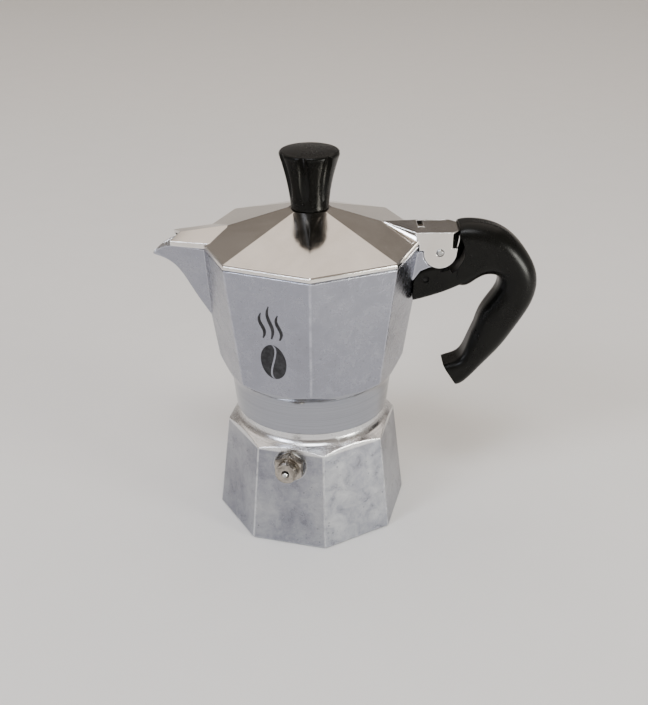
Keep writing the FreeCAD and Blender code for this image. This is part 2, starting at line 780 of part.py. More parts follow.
def make_column():
    body = new_body("column")
    bottom = ceiling + d.chamber_depth
    floor = d.body_floor_height
    top = d.column_top_height
    turned(body, "Revolution", "tube", [
        (0.0, bottom),
        (d.column_spigot_radius, bottom),
        (d.column_spigot_radius, floor),
        (d.column_base_radius, floor),
        (d.column_top_radius, top - 3.0),
        (d.column_top_radius * 0.78, top - 0.9, "via"),
        (d.column_top_radius * 0.3, top),
        (0.0, top),
    ])
    turned(body, "Groove", "bore", [
        (0.0, bottom - 1.0),
        (d.column_bore_radius, bottom - 1.0),
        (d.column_bore_radius, top - 3.0),
        (0.0, top - 1.8),
    ])
    slot_top = top - 3.4
    half = d.column_slot_width / 2
    slot = outline(sketch_on(body, "YZ_Plane", "slot"), [
        (-half, slot_top), (-half, slot_top - d.column_slot_height),
        (half, slot_top - d.column_slot_height), (half, slot_top)])
    extruded(body, "Pocket", "slots", slot, d.column_base_radius * 3, middle=True)


# ---------------------------------------------------------------- lid

def make_lid():
    body = new_body("lid")
    bottom = lid_bottom
    band_top = bottom + d.lid_band
    rim = d.body_rim_radius
    lip = rim - d.body_wall / FLAT - d.lip_clearance
    octagon_loft(body, "AdditiveLoft", "cover", [
        (rim, bottom), (rim, band_top), (rim - d.lid_bevel, band_top + d.lid_bevel),
        (d.lid_top_radius, d.lid_top_height)], rounding=d.ridge_rounding)
    lofted(body, "AdditiveLoft", "spout_cover", [
        gable_section(body, "cover%d" % i, reach, half, ridge, bottom, eave)
        for i, (reach, half, ridge, eave) in enumerate(COVER)])
    add_hinge_block(body)
    octagon_loft(body, "SubtractiveLoft", "rim_clearance", [
        (rim + d.hinge_clearance, d.block_bottom - 4.0), (rim + d.hinge_clearance, bottom)])
    octagon_loft(body, "AdditiveLoft", "lip", [(lip, bottom - d.lip_depth), (lip, bottom + 0.3)])
    octagon_loft(body, "SubtractiveLoft", "hollow", [
        (lip - d.lid_wall, bottom - d.lip_depth - 0.5),
        (lip - d.lid_wall, bottom + 0.3),
        (d.lid_top_radius - 1.0, d.lid_top_height - d.lid_wall - 0.4)])
    lofted(body, "SubtractiveLoft", "spout_cover_hollow", [
        gable_section(body, "cover_hollow%d" % i, reach, half - 1.5, ridge - 1.5, bottom - 2.0,
                      eave - 0.9)
        for i, (reach, half, ridge, eave) in enumerate(COVER)])
    hollow_hinge_block(body)
    reach = d.body_rim_radius + 6.0
    notch = outline(sketch_on(body, "XY_Plane", "front_notch", (0.0, 0.0, bottom - 2.0)), [
        (-reach, 0.0), (-reach - 12.0, 24.0), (-reach - 12.0, -24.0)])
    extruded(body, "Pocket", "notch", notch, 12.0, reverse=True)
    screw = sketch_on(body, "XY_Plane", "screw_hole", (0.0, 0.0, bottom))
    circle(screw, 0.0, 0.0, d.screw_radius + 0.25)
    extruded(body, "Pocket", "screw_bore", screw, 30.0, reverse=True)


def gable_section(body, name, reach, half, ridge, bottom, eave):
    """A roof-shaped section of the spout cover; ridge and eave are heights above the lid's base."""
    sketch = sketch_on(body, "YZ_Plane", name, (0.0, 0.0, -(d.body_rim_radius + reach)))
    return outline(sketch, [
        (-half, bottom), (half, bottom), (half, lid_bottom + eave),
        (0.0, lid_bottom + ridge), (-half, lid_bottom + eave)])


def add_hinge_block(body):
    """The lid's hinge block with its two ears, and the fairing in front of it."""
    x, z = d.pin_reach, d.pin_height
    ear = d.ear_radius
    profile = outline(sketch_on(body, "XZ_Plane", "block_profile"), [
        (d.block_front, d.block_bottom), (d.block_front, d.block_top),
        (d.block_end, d.block_top), (x + ear, z), (x, z - ear, "via"), (x - ear, z),
        (x - ear, d.block_bottom)])
    extruded(body, "Pad", "block", profile, d.hinge_width, middle=True)
    for name, side in (("near", -1.0), ("far", 1.0)):
        corner = sketch_on(body, "XY_Plane", name + "_block_corner", (0.0, 0.0, z + 1.8))
        outline(corner, [
            (d.block_end - 3.6, side * (hinge_half + 0.1)),
            (d.block_end + 1.0, side * (hinge_half - 4.0)),
            (d.block_end + 1.0, side * (hinge_half + 1.0)),
            (d.block_end - 3.6, side * (hinge_half + 1.0))])
        extruded(body, "Pocket", name + "_block_corner_cut", corner, 12.0, reverse=True)
    sections = []
    for i, (forward, edge, flank, foot) in enumerate(FAIRING):
        section = sketch_on(body, "YZ_Plane", "fairing%d" % i, (0.0, 0.0, d.block_front - forward))
        near, far = ([(side * half, d.block_top - drop) for half, drop in (edge, flank, foot)]
                     for side in (-1.0, 1.0))
        sections.append(outline(section, [
            near[0], (*near[1], "via"), near[2], far[2], (*far[1], "via"), far[0]]))
    lofted(body, "AdditiveLoft", "fairing", sections)


def hollow_hinge_block(body):
    """The space inside the hinge block, the slot in its top and the hole for the pin."""
    x, z = d.pin_reach, d.pin_height
    front = d.block_front + 1.7
    cavity = outline(sketch_on(body, "XZ_Plane", "cavity_profile"), [
        (front, z - d.ear_radius - 1.0), (front, d.block_top - d.block_wall),
        (d.block_end - d.block_wall, d.block_top - d.block_wall),
        (d.block_end - d.block_wall, z + 0.8), (d.block_end + 1.0, z - 0.2),
        (d.block_end + 1.0, z - d.ear_radius - 1.0)])
    extruded(body, "Pocket", "cavity", cavity, cheek_inside * 2, middle=True)
    slot = outline(sketch_on(body, "XY_Plane", "slot_outline", (0.0, 0.0, d.block_top - 3.0)), [
        (front, -1.8), (front + 2.4, -1.8), (front + 2.4, hinge_half - 1.2),
        (front + 12.3, hinge_half - 1.0), (front + 12.3, hinge_half - 0.5), (front, hinge_half - 0.5)])
    extruded(body, "Pocket", "slot", slot, 6.0, reverse=True)
    pin = sketch_on(body, "XZ_Plane", "pin_hole")
    circle(pin, x, z, d.pin_radius + d.pin_clearance)
    extruded(body, "Pocket", "pin_bore", pin, d.hinge_width * 2, middle=True)


def make_hinge_pin():
    body = new_body("hinge_pin")
    half = hinge_half + 0.35
    radius = d.pin_radius
    turned(body, "Revolution", "pin", [
        (0.0, -half), (radius - 0.5, -half), (radius, -half + 0.5), (radius, half - 0.5),
        (radius - 0.5, half), (0.0, half)])
    lay_across(body, d.pin_reach, d.pin_height)


def make_handle_pin():
    body = new_body("handle_pin")
    half = d.handle_arm_width / 2 - 0.7
    sketch = circle(sketch_on(body, "XY_Plane", "disc"), 0.0, 0.0, d.handle_pin_radius)
    extruded(body, "Pad", "pin", sketch, half * 2.0, middle=True)
    lay_across(body, handle_pin_x, handle_pin_z)


def lay_across(body, x, z):
    """Lays a piece made about Z along Y instead."""
    across = FreeCAD.Rotation(FreeCAD.Vector(1, 0, 0), 90)
    body.Placement = FreeCAD.Placement(FreeCAD.Vector(x.value, 0, z.value), across)
    body.setExpression("Placement.Base.x", x.text)
    body.setExpression("Placement.Base.z", z.text)


# ---------------------------------------------------------------- handle and knob

def rounded(sketch, width, height, corner):
    """A rounded rectangle centred on the sketch's origin."""
    half_w, half_h = width / 2, height / 2
    bulge = corner * (1 - math.sqrt(0.5))
    points = []
    for sx, sy in ((1, 1), (-1, 1), (-1, -1), (1, -1)):
        level = ((half_w - corner) * sx, half_h * sy)
        middle = ((half_w - bulge) * sx, (half_h - bulge) * sy, "via")
        side = (half_w * sx, (half_h - corner) * sy)
        points += [side, middle, level] if sx == sy else [level, middle, side]
    return outline(sketch, points)


def swing_relief(body, name, points, angle):
    """Clears the space that the hinge block swings through, about the hinge pin."""
    profile = outline(sketch_on(body, "XY_Plane", name, (d.pin_reach, 0.0, d.pin_height)), points)
    groove = body.newObject("PartDesign::Groove", name + "_cut")
    groove.Profile = (profile, [""])
    groove.ReferenceAxis = (profile, ["V_Axis"])
    groove.Midplane = True
    groove.Angle = angle


def make_handle():
    body = new_body("handle")
    sections = []
    for i, (ax, az, bx, bz, share) in enumerate(GRIP):
        span = math.hypot(bx - ax, bz - az)
        tilt = math.degrees(math.atan2(bx - ax, bz - az))
        sketch = sketch_on(body, "YZ_Plane", "grip%d" % i,
                           (0.0, d.pin_height + (az + bz) / 2, d.pin_reach + (ax + bx) / 2), tilt)
        width = d.handle_tip_width + (d.handle_width - d.handle_tip_width) * share
        sections.append(rounded(sketch, width, span, min(0.46 * span, 3.0 + 4.6 * share)))
    lofted(body, "AdditiveLoft", "grip", sections, ruled=False)
    arm = []
    for i, (offset, under, top) in enumerate(ARM):
        sketch = sketch_on(body, "YZ_Plane", "arm%d" % i,
                           (0.0, d.pin_height + (under + top) / 2, d.pin_reach + offset))
        arm.append(rounded(sketch, d.handle_arm_width, top - under, 2.2))
    lofted(body, "AdditiveLoft", "arm", arm, ruled=False)
    octagon_loft(body, "SubtractiveLoft", "body_clearance", [
        (body_radius(height) + 0.3, height) for height in (d.pin_height - 30.0, d.pin_height)])
    nose = hypotenuse(d.block_end - d.pin_reach, d.block_top - d.pin_height) + 0.35
    edge = nose - 2.2
    swing_relief(body, "block_relief", [
        (0.0, -CUT_REACH), (edge, -CUT_REACH), (edge, -hinge_half), (nose, -hinge_half + 2.7),
        (nose, hinge_half - 2.7), (edge, hinge_half), (edge, CUT_REACH), (0.0, CUT_REACH)], 120.0)
    heel = d.ear_radius + 1.9
    swing_relief(body, "heel_relief", [
        (0.0, -CUT_REACH), (heel, -CUT_REACH), (heel, CUT_REACH), (0.0, CUT_REACH)], 174.0)
    seat = sketch_on(body, "XZ_Plane", "ear_seat")
    circle(seat, d.pin_reach, d.pin_height, d.ear_radius + d.hinge_clearance)
    extruded(body, "Pocket", "ear_seat_cut", seat, d.handle_width * 2, middle=True)
    lug = outline(sketch_on(body, "XZ_Plane", "lug_seat"), lug_outline(d.handle_clearance))
    extruded(body, "Pocket", "lug_seat_cut", lug, d.handle_width * 2, middle=True)
    reach = (-d.handle_clearance, -d.handle_clearance, 0.0, d.handle_clearance, d.handle_clearance)
    drop = (0.0, -d.handle_clearance, -d.handle_clearance, -d.handle_clearance, 0.0)
    slot = outline(sketch_on(body, "XZ_Plane", "fork_slot"), [
        (d.pin_reach + across + sideways, d.pin_height + up + down)
        for (across, up), sideways, down in zip(TONGUE, reach, drop)])
    extruded(body, "Pocket", "fork", slot, d.tongue_thickness + d.handle_clearance * 2, middle=True)
    cross = sketch_on(body, "XZ_Plane", "pin_hole")
    circle(cross, handle_pin_x, handle_pin_z, d.handle_pin_radius)
    extruded(body, "Pocket", "pin_bore", cross, d.handle_width * 2, middle=True)
    return body


def make_knob():
    body = new_body("knob")
    base = d.lid_top_height
    top = base + d.knob_height
    foot, head = d.knob_base_radius, d.knob_top_radius
    turned(body, "Revolution", "shape", [
        (0.0, base), (foot - 0.8, base), (foot - 0.2, base + 0.25, "via"), (foot, base + 0.9),
        (foot + 1.9, base + 13.0, "via"), (head - 0.2, top - 2.0), (head - 0.35, top - 0.9, "via"),
        (head - 1.6, top - 0.3), (head * 0.55, top - 0.08, "via"), (head * 0.2, top), (0.0, top)])
    doc.recompute()
    flute = body.newObject("PartDesign::SubtractiveTorus", "flute")
    sweep = 30.0
    middle = base + d.knob_height * 0.48
    flank = foot + 1.9
    flute.Radius1 = sweep
    bind(flute, "Radius2", d.flute_radius)
    outward = flank - d.flute_depth + d.flute_radius + sweep
    attach(flute, body, "XY_Plane")
    upright = FreeCAD.Rotation(FreeCAD.Vector(1, 0, 0), 90)
    flute.AttachmentOffset = FreeCAD.Placement(FreeCAD.Vector(0, 0, 0), upright)
    flute.setExpression("AttachmentOffset.Base.x", outward.text)
    flute.setExpression("AttachmentOffset.Base.z", (middle - 3.5).text)
    axis = sketch_on(body, "XY_Plane", "knob_axis")
    circle(axis, 0.0, 0.0, 1.0)
    polar(body, "flutes", [flute], (axis, ["N_Axis"]), d.flute_count)
    turned(body, "Groove", "insert_bore", [
        (0.0, base - 1.0), (d.insert_radius, base - 1.0),
        (d.insert_radius, base + d.insert_length), (0.0, base + d.insert_length)])


def make_knob_fixings():
    base = d.lid_top_height
    inner = base - d.lid_wall - 0.4
    washer = 0.8
    make_ring("knob_insert", d.screw_radius, d.insert_radius, base, base + d.insert_length)
    make_ring("knob_washer", d.screw_radius + 0.2, d.screw_head_radius + 1.0, inner - washer, inner)
    body = new_body("knob_screw")
    turned(body, "Revolution", "screw", [
        (0.0, inner - washer - 2.2),
        (d.screw_head_radius - 0.8, inner - washer - 2.2),
        (d.screw_head_radius - 0.2, inner - washer - 1.6, "via"),
        (d.screw_head_radius, inner - washer),
        (d.screw_radius, inner - washer),
        (d.screw_radius, base + d.insert_length - 1.0),
        (0.0, base + d.insert_length - 1.0)])
    slot = outline(sketch_on(body, "XZ_Plane", "driver_slot"), [
        (-0.5, inner - washer - 3.0), (0.5, inner - washer - 3.0),
        (0.5, inner - washer - 1.1), (-0.5, inner - washer - 1.1)])
    extruded(body, "Pocket", "slot", slot, d.screw_head_radius * 3, middle=True)


# ---------------------------------------------------------------- build, check and write

make_boiler()
make_valve_body()
place_valve_piece(make_ring("valve_washer", d.valve_shank_radius + 0.05, d.valve_hex_flats / 2 - 0.2,
                            0.0, hex_bottom))
place_valve_piece(make_ring("valve_cap", d.valve_pin_radius + 0.55, d.valve_barrel_radius,
                            barrel_top, barrel_top + cap_thickness))
make_valve_pin()
make_valve_spring()
make_funnel()
make_sieve()
make_ring("gasket", d.gasket_inner_radius, gasket_radius, gasket_bottom, gasket_top)
make_filter_plate()
make_collector()
make_column()
make_lid()
make_hinge_pin()
make_handle()
make_handle_pin()
make_knob()
make_knob_fixings()
doc.recompute()

faults = [item.Name for item in doc.Objects if {"Invalid", "Error"} & set(item.State)]
if faults:
    raise RuntimeError("failed objects: " + ", ".join(faults))
for node in nodes:
    if node.Shape.isNull() or not node.Shape.isValid():
        raise RuntimeError(node.Label + " is not a valid solid")

os.makedirs("parts", exist_ok=True)
for node in nodes:
    node.Shape.exportStep("parts/%s.step" % node.Label)
    print("%-14s solids %d volume %.0f" % (node.Label, len(node.Shape.Solids), node.Shape.Volume))
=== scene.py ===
"""Looks for the moka pot: worn cast aluminium, polished lid, black moulded handle and knob."""

import json
import math

import bpy
from mathutils import Matrix, Vector


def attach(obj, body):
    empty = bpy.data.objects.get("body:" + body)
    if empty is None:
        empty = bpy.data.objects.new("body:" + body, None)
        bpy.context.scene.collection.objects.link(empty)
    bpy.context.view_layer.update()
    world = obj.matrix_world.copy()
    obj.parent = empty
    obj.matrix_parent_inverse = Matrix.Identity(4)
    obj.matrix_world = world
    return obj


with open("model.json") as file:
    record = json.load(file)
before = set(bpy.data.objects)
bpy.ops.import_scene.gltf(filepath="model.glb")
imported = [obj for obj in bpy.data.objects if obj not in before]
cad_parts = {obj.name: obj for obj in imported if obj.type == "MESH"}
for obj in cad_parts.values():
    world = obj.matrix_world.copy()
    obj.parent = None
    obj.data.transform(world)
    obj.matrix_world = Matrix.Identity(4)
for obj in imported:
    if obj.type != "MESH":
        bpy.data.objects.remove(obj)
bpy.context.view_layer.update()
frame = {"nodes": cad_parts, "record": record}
nodes = frame["nodes"]

# Sizes of the pot that its looks follow, in metres and radians.
BOILER_CORNER = math.radians(7.34)  # where one of the boiler's upright corners is
COLLECTOR_CORNER = 0.0
BOILER_TURNED = (0.0437, 0.2)  # heights of the lathe-turned surfaces
COLLAR_TURNED = (0.0526, 0.0722)
FACE_TURN = math.radians(-112.5)  # which way the printed face looks
FACE_TILT = math.atan(7.5 / 53.0 * math.cos(math.pi / 8))

# How the metal wears, and the widths of its bright edges: part edge wear, part painted highlight.
EDGE_WIDTH = 0.0011
CORNER_WIDTH = 0.016  # radians
EDGE_TURN = (0.955, 0.995)  # cosines between a face and its rounded edge
BAND_BLUR = 0.0003
INNER_FACING = (-0.006, -0.001)


# ---------------------------------------------------------------- node helpers

class Shader:
    """A material with a Principled shader, and short ways to add the nodes that feed it."""

    def __init__(self, name, **inputs):
        self.material = bpy.data.materials.new(name)
        self.material.use_nodes = True
        self.tree = self.material.node_tree
        self.base = self.tree.nodes["Principled BSDF"]
        for socket, value in inputs.items():
            self.base.inputs[socket.replace("_", " ")].default_value = value
        self.coords = self.tree.nodes.new("ShaderNodeTexCoord").outputs["Object"]

    def node(self, kind, **settings):
        made = self.tree.nodes.new("ShaderNode" + kind)
        for key, value in settings.items():
            setattr(made, key, value)
        return made

    def link(self, source, target):
        self.tree.links.new(source, target)

    def feed(self, socket, source):
        self.link(source, self.base.inputs[socket])

    def mapped(self, scale=(1.0, 1.0, 1.0), turn=(0.0, 0.0, 0.0)):
        """Object coordinates, scaled and turned."""
        mapping = self.node("Mapping")
        mapping.inputs["Scale"].default_value = scale
        mapping.inputs["Rotation"].default_value = turn
        self.link(self.coords, mapping.inputs["Vector"])
        return mapping.outputs["Vector"]

    def noise(self, scale, detail=4.0, roughness=0.5, distortion=0.0, vector=None):
        made = self.node("TexNoise")
        made.inputs["Scale"].default_value = scale
        made.inputs["Detail"].default_value = detail
        made.inputs["Roughness"].default_value = roughness
        made.inputs["Distortion"].default_value = distortion
        self.link(vector or self.coords, made.inputs["Vector"])
        return made.outputs["Fac"]

    def cells(self, scale):
        """Distance to the nearest point of a random pattern."""
        made = self.node("TexVoronoi")
        made.inputs["Scale"].default_value = scale
        self.link(self.coords, made.inputs["Vector"])
        return made.outputs["Distance"]

    def ramp(self, source, stops):
        """A colour for a value, from (place, colour) stops."""
        made = self.node("ValToRGB")
        line = made.color_ramp.elements
        while len(line) < len(stops):
            line.new(0.5)
        for element, (place, colour) in zip(line, stops):
            element.position = place
            element.color = (*colour, 1.0)
        self.link(source, made.inputs["Fac"])
        return made.outputs["Color"]

    def spread(self, source, low, high, start=0.0, end=1.0):
        """Maps a value from start..end onto low..high."""
        made = self.node("MapRange")
        limits = {"From Min": start, "From Max": end, "To Min": low, "To Max": high}
        for socket, value in limits.items():
            made.inputs[socket].default_value = value
        self.link(source, made.inputs["Value"])
        return made.outputs["Result"]

    def calc(self, operation, first, second):
        """One sum of two values, each a number or a link."""
        made = self.node("Math", operation=operation)
        for socket, item in zip(made.inputs, (first, second)):
            if isinstance(item, (int, float)):
                socket.default_value = item
            else:
                self.link(item, socket)
        return made.outputs["Value"]

    def mix(self, share, first, second):
        """Blends from first to second, each a colour or a link, by a linked share."""
        made = self.node("Mix", data_type="RGBA")
        inputs = {socket.identifier: socket for socket in made.inputs}
        self.link(share, inputs["Factor_Float"])
        for socket, item in ((inputs["A_Color"], first), (inputs["B_Color"], second)):
            if isinstance(item, tuple):
                socket.default_value = (*item, 1.0)
            else:
                self.link(item, socket)
        return next(s for s in made.outputs if s.identifier == "Result_Color")

    def brightest(self, *shares):
        """The largest of some (mask, strength) pairs, each mask times its strength."""
        scaled = [self.calc("MULTIPLY", mask, strength) for mask, strength in shares]
        return self.calc("MAXIMUM", *scaled)

    def rounded(self, radius, samples):
        """The surface's normal with its edges rounded."""
        made = self.node("Bevel", samples=samples)
        made.inputs["Radius"].default_value = radius
        return made.outputs["Normal"]

    def dot(self, first, second):
        made = self.node("VectorMath", operation="DOT_PRODUCT")
        self.link(first, made.inputs[0])
        self.link(second, made.inputs[1])
        return made.outputs["Value"]

    def bump(self, layers, edge):
        """Bump from (height, strength, distance) layers, over softened edges."""
        normal = self.rounded(edge, 6)
        for height, strength, distance in layers:
            made = self.node("Bump")
            made.inputs["Strength"].default_value = strength
            made.inputs["Distance"].default_value = distance
            self.link(height, made.inputs["Height"])
            self.link(normal, made.inputs["Normal"])
            normal = made.outputs["Normal"]
        self.feed("Normal", normal)

    def edge_wear_and_highlight(self, radius):
        """1 along outside edges, 0 on flats: the mask for bright edges, part wear and part
        painted highlight.
        """
        flat = self.node("NewGeometry").outputs["Normal"]
        return self.spread(self.dot(self.rounded(radius, 8), flat), 1.0, 0.0, *EDGE_TURN)

    def axes(self):
        split = self.node("SeparateXYZ")
        self.link(self.coords, split.inputs["Vector"])
        return split.outputs

    def band(self, low, high):
        """1 between two heights, 0 elsewhere."""
        height = self.axes()["Z"]
        above = self.spread(height, 0.0, 1.0, low - BAND_BLUR, low + BAND_BLUR)
        below = self.spread(height, 1.0, 0.0, high - BAND_BLUR, high + BAND_BLUR)
        return self.calc("MULTIPLY", above, below)

    def corners(self, first, width):
        """1 along the upright corners of an octagon, fading over a width in radians."""
        axes = self.axes()
        angle = self.calc("ARCTAN2", axes["Y"], axes["X"])
        away = self.calc("PINGPONG", self.calc("SUBTRACT", angle, first), math.pi / 8)
        return self.spread(away, 1.0, 0.0, width * 0.35, width)

    def inner(self):
        """1 on walls that face the upright axis, 0 on the outside."""
        normal = self.node("TexCoord").outputs["Normal"]
        facing = self.dot(self.mapped(scale=(1.0, 1.0, 0.0)), normal)
        return self.spread(facing, 1.0, 0.0, *INNER_FACING)

    def scratches(self, length, width, turn, rarity):
        """Hairlines of about this length and width: 1 on a line, 0 elsewhere."""
        turned = self.mapped(turn=turn)
        stretch = self.node("Mapping")
        stretch.inputs["Scale"].default_value = (1.0 / length, 1.0 / width, 1.0 / width)
        self.link(turned, stretch.inputs["Vector"])
        lines = self.noise(1.0, 1.0, 0.5, 0.0, stretch.outputs["Vector"])
        return self.spread(lines, 0.0, 1.0, rarity, rarity + 0.04)


# ---------------------------------------------------------------- materials

CLEAN_METAL = (0.74, 0.74, 0.745)
BRIGHTEST = 0.95


def scaled(colour, factor):
    """A colour made lighter or darker, never past what metal reflects."""
    return tuple(min(BRIGHTEST, channel * factor) for channel in colour)


def cast_aluminium(name, tones, lathed, rough, wear, first_corner, turned):
    """A worn casting with bright corners (part wear, part painted highlight), and a lathe-turned
    band between two heights.
    """
    dark, tint, light = tones
    s = Shader(name, Metallic=1.0, IOR=1.45)
    blotch = s.noise(150.0, 8.0, 0.74, 0.5)
    cloud = s.noise(30.0, 4.0, 0.6, 0.4)
    grain = s.noise(1300.0, 3.0, 0.6)
    specks = s.spread(s.cells(420.0), 1.0, 0.0, 0.06, 0.22)
    rare = s.spread(s.noise(90.0, 3.0, 0.6), 0.0, 1.0, 0.50, 0.60)
    pits = s.calc("MULTIPLY", specks, rare)
    lines = s.calc("MAXIMUM", s.scratches(0.022, 0.00022, (0.3, 0.9, 0.5), 0.70),
                   s.scratches(0.014, 0.00018, (1.2, 0.5, 2.1), 0.71))
    rings = s.noise(1.0, 4.0, 0.7, 0.0, s.mapped(scale=(5.0, 5.0, 2600.0)))
    band = s.band(*turned)
    cast = s.calc("SUBTRACT", 1.0, band)
    broken = s.spread(s.noise(260.0, 4.0, 0.7), 0.35, 1.0, 0.40, 0.56)
    # Bright lines along the upright corners, broken up by noise: part wear, part painted
    # highlight.
    upright = s.corners(first_corner, CORNER_WIDTH)
    ridges = s.calc("MULTIPLY", upright, s.calc("MULTIPLY", broken, cast))
    edges = s.calc("MAXIMUM", s.edge_wear_and_highlight(EDGE_WIDTH), ridges)

    # Colour: oxide tones, dark pits, bright scratches, bright edges and corners (part wear, part
    # painted highlight), the turned band, then the clean inside.
    tone = s.calc("ADD", s.calc("MULTIPLY", blotch, 0.5), s.calc("MULTIPLY", cloud, 0.5))
    colour = s.ramp(tone, [(0.37, dark), (0.5, tint), (0.64, light)])
    colour = s.mix(s.calc("MULTIPLY", pits, wear), colour, scaled(tint, 0.30))
    # Scratches and bright edges and corners mixed lighter: the edge lines are part wear, part
    # painted highlight.
    colour = s.mix(s.brightest((lines, 0.35), (edges, 0.75)), colour, scaled(light, 1.5))
    lathe = s.ramp(rings, [(0.32, scaled(lathed, 0.72)), (0.62, lathed)])
    colour = s.mix(s.calc("MULTIPLY", band, 0.8), colour, lathe)
    colour = s.mix(s.calc("MULTIPLY", s.inner(), 0.75), colour, CLEAN_METAL)
    s.feed("Base Color", colour)

    worn = s.calc("ADD", s.spread(blotch, rough - 0.07, rough + 0.10, 0.35, 0.65),
                  s.spread(grain, -0.05, 0.05))
    worn = s.calc("SUBTRACT", worn, s.calc("MULTIPLY", edges, 0.1))
    s.feed("Roughness", s.calc("SUBTRACT", worn, s.calc("MULTIPLY", band, 0.08)))
    s.bump([(blotch, 0.10, 0.0004), (grain, 0.18, 0.00008), (pits, -0.4, 0.00010),
            (s.calc("MULTIPLY", rings, band), 0.3, 0.00005), (lines, -0.3, 0.00005)], 0.0006)
    return s.material


def polished_aluminium():
    """The lid: nearly mirror bright, with haze, handling marks and hairlines."""
    s = Shader("lid_polish", Metallic=1.0, IOR=1.45)
    haze = s.noise(30.0, 5.0, 0.6, 0.6)
    fine = s.noise(1800.0, 2.0, 0.5)
    lines = s.calc("MAXIMUM", s.scratches(0.03, 0.0002, (0.0, 0.2, 0.7), 0.705),
                   s.scratches(0.018, 0.00016, (0.2, 0.1, 2.3), 0.70))
    colour = s.ramp(haze, [(0.36, (0.66, 0.62, 0.575)), (0.62, (0.75, 0.715, 0.675))])
    edges = s.edge_wear_and_highlight(0.0009)
    # Bright edges: part wear, part painted highlight.
    colour = s.mix(s.brightest((lines, 0.3), (edges, 0.7)), colour, (0.93, 0.93, 0.93))
    s.feed("Base Color", colour)
    s.feed("Roughness", s.calc("ADD", s.spread(haze, 0.07, 0.17, 0.35, 0.65),
                               s.spread(fine, -0.02, 0.02)))
    s.bump([(haze, 0.10, 0.0004), (fine, 0.10, 0.00003), (lines, -0.25, 0.00003)], 0.0005)
    return s.material


def sheet_aluminium():
    """Pressed sheet with a fine upright grain."""
    s = Shader("sheet_aluminium", Metallic=1.0, IOR=1.45)
    cloud = s.noise(30.0, 4.0, 0.5)
    grain = s.noise(1.0, 2.0, 0.5, 0.0, s.mapped(scale=(1400.0, 1400.0, 60.0)))
    s.feed("Base Color", s.ramp(cloud, [(0.35, (0.6, 0.6, 0.6)), (0.65, (0.76, 0.76, 0.77))]))
    s.feed("Roughness", s.spread(grain, 0.26, 0.42))
    s.bump([(grain, 0.12, 0.00005)], 0.0003)
    return s.material


def plated(name, tint, rough):
    """Small turned fittings: plated or plain steel, with a little grime."""
    s = Shader(name, Metallic=1.0, IOR=1.45)
    grime = s.noise(210.0, 5.0, 0.65, 0.8)
    grain = s.noise(2600.0, 2.0, 0.5)
    s.feed("Base Color", s.ramp(grime, [(0.36, scaled(tint, 0.42)), (0.56, tint)]))
    s.feed("Roughness", s.spread(grime, rough + 0.18, rough - 0.04, 0.35, 0.6))
    s.bump([(grime, 0.12, 0.0001), (grain, 0.1, 0.00003)], 0.00025)
    return s.material


def rubber():
    """Matt pale seal rubber."""
    s = Shader("seal_rubber", Metallic=0.0, IOR=1.5)
    cloud = s.noise(60.0, 4.0, 0.5)
    grain = s.noise(1500.0, 3.0, 0.6)
    s.feed("Base Color", s.ramp(cloud, [(0.3, (0.66, 0.64, 0.58)), (0.7, (0.80, 0.79, 0.74))]))
    s.feed("Roughness", s.spread(grain, 0.55, 0.75))
    s.bump([(grain, 0.2, 0.00006)], 0.0003)
    return s.material


def black_plastic():
    """Moulded black phenolic: satin gloss, faint orange peel, light handling marks."""
    s = Shader("black_plastic", Metallic=0.0, IOR=1.46, Specular_IOR_Level=0.17)
    cloud = s.noise(45.0, 5.0, 0.6, 0.3)
    peel = s.noise(900.0, 3.0, 0.6)
    lines = s.scratches(0.016, 0.0002, (0.2, 0.9, 0.4), 0.70)
    colour = s.ramp(cloud, [(0.3, (0.0022, 0.0022, 0.0019)), (0.7, (0.0045, 0.0045, 0.0038))])
    s.feed("Base Color", s.mix(s.calc("MULTIPLY", lines, 0.3), colour, (0.03, 0.03, 0.028)))
    s.feed("Roughness", s.calc("ADD", s.spread(cloud, 0.22, 0.34, 0.3, 0.7),
                               s.spread(peel, -0.03, 0.05)))
    s.bump([(peel, 0.18, 0.00005), (cloud, 0.06, 0.0004), (lines, -0.15, 0.00003)], 0.0004)
    return s.material


BOILER_TONES = ((0.20, 0.205, 0.245), (0.335, 0.345, 0.385), (0.48, 0.49, 0.51))
COLLECTOR_TONES = ((0.285, 0.293, 0.340), (0.315, 0.326, 0.380), (0.350, 0.360, 0.412))

finishes = {
    "boiler_casting": cast_aluminium(
        "boiler_casting", BOILER_TONES, lathed=(0.93, 0.93, 0.94), rough=0.32, wear=0.75,
        first_corner=BOILER_CORNER, turned=BOILER_TURNED),
    "collector_casting": cast_aluminium(
        "collector_casting", COLLECTOR_TONES, lathed=(0.40, 0.415, 0.455), rough=0.24, wear=0.35,
        first_corner=COLLECTOR_CORNER, turned=COLLAR_TURNED),
    "lid_polish": polished_aluminium(),
    "sheet_aluminium": sheet_aluminium(),
    "valve_metal": plated("valve_metal", (0.42, 0.385, 0.34), 0.18),
    "steel": plated("steel", (0.62, 0.62, 0.61), 0.2),
    "seal_rubber": rubber(),
    "black_plastic": black_plastic(),
}
for row in frame["record"]["subparts"]:
    item = nodes[row["node"]]
    item.data.materials.clear()
    item.data.materials.append(finishes[row["material_slot"]])
# The pin's end is coloured near black.
nodes["handle_pin"].data.materials[0] = plated("near_black_pin", (0.03, 0.03, 0.03), 0.3)


# ---------------------------------------------------------------- printed motif

PRINT_LIFT = 0.00003  # above the metal
PRINT_HEIGHT = 0.0885  # of the bean's middle
BEAN_LENGTH = 0.0082  # half of it
BEAN_WIDTH = 0.0056  # half of it
BEAN_GAP = 0.0004
WISPS = ((-0.0036, 0.0115), (0.0, 0.0150), (0.0036, 0.0115))  # sideways place and length
WISP_START = 0.0110  # above the bean's middle
WISP_SWAY = 0.0009
WISP_WIDTH = 0.0016


